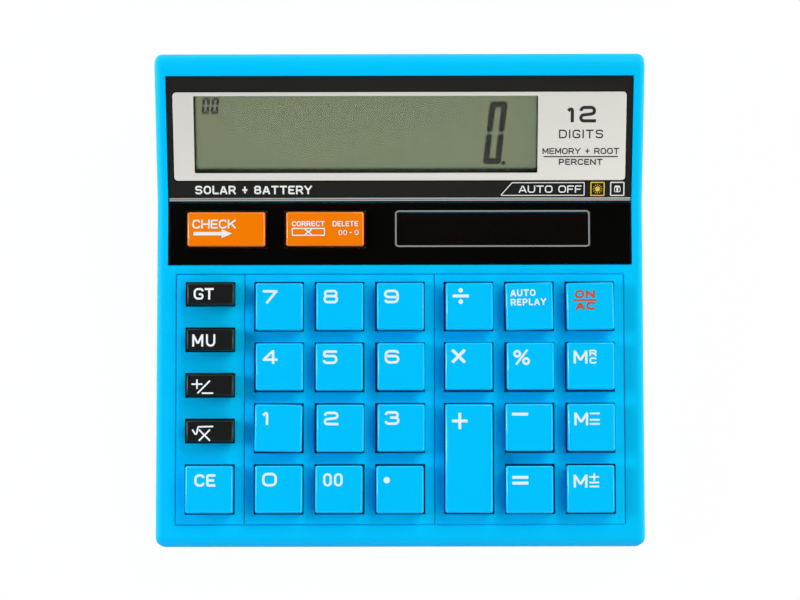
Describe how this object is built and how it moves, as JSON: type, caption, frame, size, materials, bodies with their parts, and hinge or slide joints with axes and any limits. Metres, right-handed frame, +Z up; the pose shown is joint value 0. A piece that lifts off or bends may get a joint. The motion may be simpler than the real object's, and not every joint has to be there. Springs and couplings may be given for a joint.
{
  "type": "desk calculator",
  "caption": "Desktop calculator with a raised sloping display, spring-return keys on a shallow deck and a sliding battery door underneath.",
  "frame": {"origin": "centre of the footprint, on the surface that the four feet stand on", "axes": "+Z up, +Y towards the raised display at the rear, +X to the user's right"},
  "size_m": [0.129, 0.128, 0.0337],
  "materials": {
    "case_blue": "fine moulded ABS",
    "key_blue": "fine moulded ABS",
    "key_black": "fine moulded ABS",
    "key_orange": "smooth moulded ABS",
    "black_acrylic": "polished acrylic",
    "smoked_acrylic": "polished smoked acrylic",
    "clear_acrylic": "clear acrylic",
    "satin_aluminium": "satin anodised aluminium",
    "grey_trim": "satin painted ABS",
    "lcd_glass": "polarised glass",
    "ribbon_film": "polyester film",
    "silicon_cell": "amorphous silicon on glass",
    "red_vinyl": "PVC insulation",
    "black_vinyl": "PVC insulation",
    "mat_rubber": "moulded silicone rubber",
    "board_laminate": "solder-masked laminate",
    "black_epoxy": "cured epoxy",
    "nickel_steel": "nickel-plated steel",
    "foot_rubber": "moulded rubber"
  },
  "bodies": {
    "case": {"upper_case": "case_blue", "lower_case": "case_blue", "display_bezel": "black_acrylic", "display_frame": "satin_aluminium", "display_window": "clear_acrylic", "trim_strip": "grey_trim", "control_panel": "black_acrylic", "solar_window": "smoked_acrylic", "lcd_panel": "lcd_glass", "lcd_ribbon": "ribbon_film", "solar_cell": "silicon_cell", "solar_wire_red": "red_vinyl", "solar_wire_black": "black_vinyl", "key_mat": "mat_rubber", "circuit_board": "board_laminate", "chip_blob": "black_epoxy", "battery_cell": "nickel_steel", "battery_contact_positive": "nickel_steel", "battery_contact_negative": "nickel_steel", "battery_wire_red": "red_vinyl", "battery_wire_black": "black_vinyl", "case_screw_front_left": "nickel_steel", "case_screw_front_right": "nickel_steel", "case_screw_rear_left": "nickel_steel", "case_screw_rear_right": "nickel_steel", "foot_front_left": "foot_rubber", "foot_front_right": "foot_rubber", "foot_rear_left": "foot_rubber", "foot_rear_right": "foot_rubber"},
    "key_7": {"key_7": "key_blue"},
    "key_8": {"key_8": "key_blue"},
    "key_9": {"key_9": "key_blue"},
    "key_divide": {"key_divide": "key_blue"},
    "key_auto_replay": {"key_auto_replay": "key_blue"},
    "key_on_ac": {"key_on_ac": "key_blue"},
    "key_4": {"key_4": "key_blue"},
    "key_5": {"key_5": "key_blue"},
    "key_6": {"key_6": "key_blue"},
    "key_multiply": {"key_multiply": "key_blue"},
    "key_percent": {"key_percent": "key_blue"},
    "key_memory_recall": {"key_memory_recall": "key_blue"},
    "key_1": {"key_1": "key_blue"},
    "key_2": {"key_2": "key_blue"},
    "key_3": {"key_3": "key_blue"},
    "key_plus": {"key_plus": "key_blue"},
    "key_minus": {"key_minus": "key_blue"},
    "key_memory_minus": {"key_memory_minus": "key_blue"},
    "key_0": {"key_0": "key_blue"},
    "key_00": {"key_00": "key_blue"},
    "key_point": {"key_point": "key_blue"},
    "key_equals": {"key_equals": "key_blue"},
    "key_memory_plus": {"key_memory_plus": "key_blue"},
    "key_clear_entry": {"key_clear_entry": "key_blue"},
    "key_grand_total": {"key_grand_total": "key_black"},
    "key_mark_up": {"key_mark_up": "key_black"},
    "key_sign": {"key_sign": "key_black"},
    "key_root": {"key_root": "key_black"},
    "key_check": {"key_check": "key_orange"},
    "key_correct": {"key_correct": "key_orange"},
    "battery_door": {"battery_door": "case_blue"}
  },
  "joints": [
    {"name": "press_7", "type": "slide", "parent": "case", "child": "key_7", "axis": [0, 0.0872, -0.9962], "range_m": [0, 0.0013], "stiffness_N_per_m": 400, "springref_m": -0.0005, "deforming": ["key_mat"]},
    {"name": "press_8", "type": "slide", "parent": "case", "child": "key_8", "axis": [0, 0.0872, -0.9962], "range_m": [0, 0.0013], "stiffness_N_per_m": 400, "springref_m": -0.0005, "deforming": ["key_mat"]},
    {"name": "press_9", "type": "slide", "parent": "case", "child": "key_9", "axis": [0, 0.0872, -0.9962], "range_m": [0, 0.0013], "stiffness_N_per_m": 400, "springref_m": -0.0005, "deforming": ["key_mat"]},
    {"name": "press_divide", "type": "slide", "parent": "case", "child": "key_divide", "axis": [0, 0.0872, -0.9962], "range_m": [0, 0.0013], "stiffness_N_per_m": 400, "springref_m": -0.0005, "deforming": ["key_mat"]},
    {"name": "press_auto_replay", "type": "slide", "parent": "case", "child": "key_auto_replay", "axis": [0, 0.0872, -0.9962], "range_m": [0, 0.0013], "stiffness_N_per_m": 400, "springref_m": -0.0005, "deforming": ["key_mat"]},
    {"name": "press_on_ac", "type": "slide", "parent": "case", "child": "key_on_ac", "axis": [0, 0.0872, -0.9962], "range_m": [0, 0.0013], "stiffness_N_per_m": 400, "springref_m": -0.0005, "deforming": ["key_mat"]},
    {"name": "press_4", "type": "slide", "parent": "case", "child": "key_4", "axis": [0, 0.0872, -0.9962], "range_m": [0, 0.0013], "stiffness_N_per_m": 400, "springref_m": -0.0005, "deforming": ["key_mat"]},
    {"name": "press_5", "type": "slide", "parent": "case", "child": "key_5", "axis": [0, 0.0872, -0.9962], "range_m": [0, 0.0013], "stiffness_N_per_m": 400, "springref_m": -0.0005, "deforming": ["key_mat"]},
    {"name": "press_6", "type": "slide", "parent": "case", "child": "key_6", "axis": [0, 0.0872, -0.9962], "range_m": [0, 0.0013], "stiffness_N_per_m": 400, "springref_m": -0.0005, "deforming": ["key_mat"]},
    {"name": "press_multiply", "type": "slide", "parent": "case", "child": "key_multiply", "axis": [0, 0.0872, -0.9962], "range_m": [0, 0.0013], "stiffness_N_per_m": 400, "springref_m": -0.0005, "deforming": ["key_mat"]},
    {"name": "press_percent", "type": "slide", "parent": "case", "child": "key_percent", "axis": [0, 0.0872, -0.9962], "range_m": [0, 0.0013], "stiffness_N_per_m": 400, "springref_m": -0.0005, "deforming": ["key_mat"]},
    {"name": "press_memory_recall", "type": "slide", "parent": "case", "child": "key_memory_recall", "axis": [0, 0.0872, -0.9962], "range_m": [0, 0.0013], "stiffness_N_per_m": 400, "springref_m": -0.0005, "deforming": ["key_mat"]},
    {"name": "press_1", "type": "slide", "parent": "case", "child": "key_1", "axis": [0, 0.0872, -0.9962], "range_m": [0, 0.0013], "stiffness_N_per_m": 400, "springref_m": -0.0005, "deforming": ["key_mat"]},
    {"name": "press_2", "type": "slide", "parent": "case", "child": "key_2", "axis": [0, 0.0872, -0.9962], "range_m": [0, 0.0013], "stiffness_N_per_m": 400, "springref_m": -0.0005, "deforming": ["key_mat"]},
    {"name": "press_3", "type": "slide", "parent": "case", "child": "key_3", "axis": [0, 0.0872, -0.9962], "range_m": [0, 0.0013], "stiffness_N_per_m": 400, "springref_m": -0.0005, "deforming": ["key_mat"]},
    {"name": "press_plus", "type": "slide", "parent": "case", "child": "key_plus", "axis": [0, 0.0872, -0.9962], "range_m": [0, 0.0013], "stiffness_N_per_m": 400, "springref_m": -0.0005, "deforming": ["key_mat"]},
    {"name": "press_minus", "type": "slide", "parent": "case", "child": "key_minus", "axis": [0, 0.0872, -0.9962], "range_m": [0, 0.0013], "stiffness_N_per_m": 400, "springref_m": -0.0005, "deforming": ["key_mat"]},
    {"name": "press_memory_minus", "type": "slide", "parent": "case", "child": "key_memory_minus", "axis": [0, 0.0872, -0.9962], "range_m": [0, 0.0013], "stiffness_N_per_m": 400, "springref_m": -0.0005, "deforming": ["key_mat"]},
    {"name": "press_0", "type": "slide", "parent": "case", "child": "key_0", "axis": [0, 0.0872, -0.9962], "range_m": [0, 0.0013], "stiffness_N_per_m": 400, "springref_m": -0.0005, "deforming": ["key_mat"]},
    {"name": "press_00", "type": "slide", "parent": "case", "child": "key_00", "axis": [0, 0.0872, -0.9962], "range_m": [0, 0.0013], "stiffness_N_per_m": 400, "springref_m": -0.0005, "deforming": ["key_mat"]},
    {"name": "press_point", "type": "slide", "parent": "case", "child": "key_point", "axis": [0, 0.0872, -0.9962], "range_m": [0, 0.0013], "stiffness_N_per_m": 400, "springref_m": -0.0005, "deforming": ["key_mat"]},
    {"name": "press_equals", "type": "slide", "parent": "case", "child": "key_equals", "axis": [0, 0.0872, -0.9962], "range_m": [0, 0.0013], "stiffness_N_per_m": 400, "springref_m": -0.0005, "deforming": ["key_mat"]},
    {"name": "press_memory_plus", "type": "slide", "parent": "case", "child": "key_memory_plus", "axis": [0, 0.0872, -0.9962], "range_m": [0, 0.0013], "stiffness_N_per_m": 400, "springref_m": -0.0005, "deforming": ["key_mat"]},
    {"name": "press_clear_entry", "type": "slide", "parent": "case", "child": "key_clear_entry", "axis": [0, 0.0872, -0.9962], "range_m": [0, 0.0013], "stiffness_N_per_m": 400, "springref_m": -0.0005, "deforming": ["key_mat"]},
    {"name": "press_grand_total", "type": "slide", "parent": "case", "child": "key_grand_total", "axis": [0, 0.0872, -0.9962], "range_m": [0, 0.0013], "stiffness_N_per_m": 400, "springref_m": -0.0005, "deforming": ["key_mat"]},
    {"name": "press_mark_up", "type": "slide", "parent": "case", "child": "key_mark_up", "axis": [0, 0.0872, -0.9962], "range_m": [0, 0.0013], "stiffness_N_per_m": 400, "springref_m": -0.0005, "deforming": ["key_mat"]},
    {"name": "press_sign", "type": "slide", "parent": "case", "child": "key_sign", "axis": [0, 0.0872, -0.9962], "range_m": [0, 0.0013], "stiffness_N_per_m": 400, "springref_m": -0.0005, "deforming": ["key_mat"]},
    {"name": "press_root", "type": "slide", "parent": "case", "child": "key_root", "axis": [0, 0.0872, -0.9962], "range_m": [0, 0.0013], "stiffness_N_per_m": 400, "springref_m": -0.0005, "deforming": ["key_mat"]},
    {"name": "press_check", "type": "slide", "parent": "case", "child": "key_check", "axis": [0, 0.0872, -0.9962], "range_m": [0, 0.0012], "stiffness_N_per_m": 400, "springref_m": -0.0005, "deforming": ["key_mat"]},
    {"name": "press_correct", "type": "slide", "parent": "case", "child": "key_correct", "axis": [0, 0.0872, -0.9962], "range_m": [0, 0.0012], "stiffness_N_per_m": 400, "springref_m": -0.0005, "deforming": ["key_mat"]},
    {"name": "battery_door_slide", "type": "slide", "parent": "case", "child": "battery_door", "axis": [0, 1, 0], "range_m": [0, 0.02]}
  ]
}
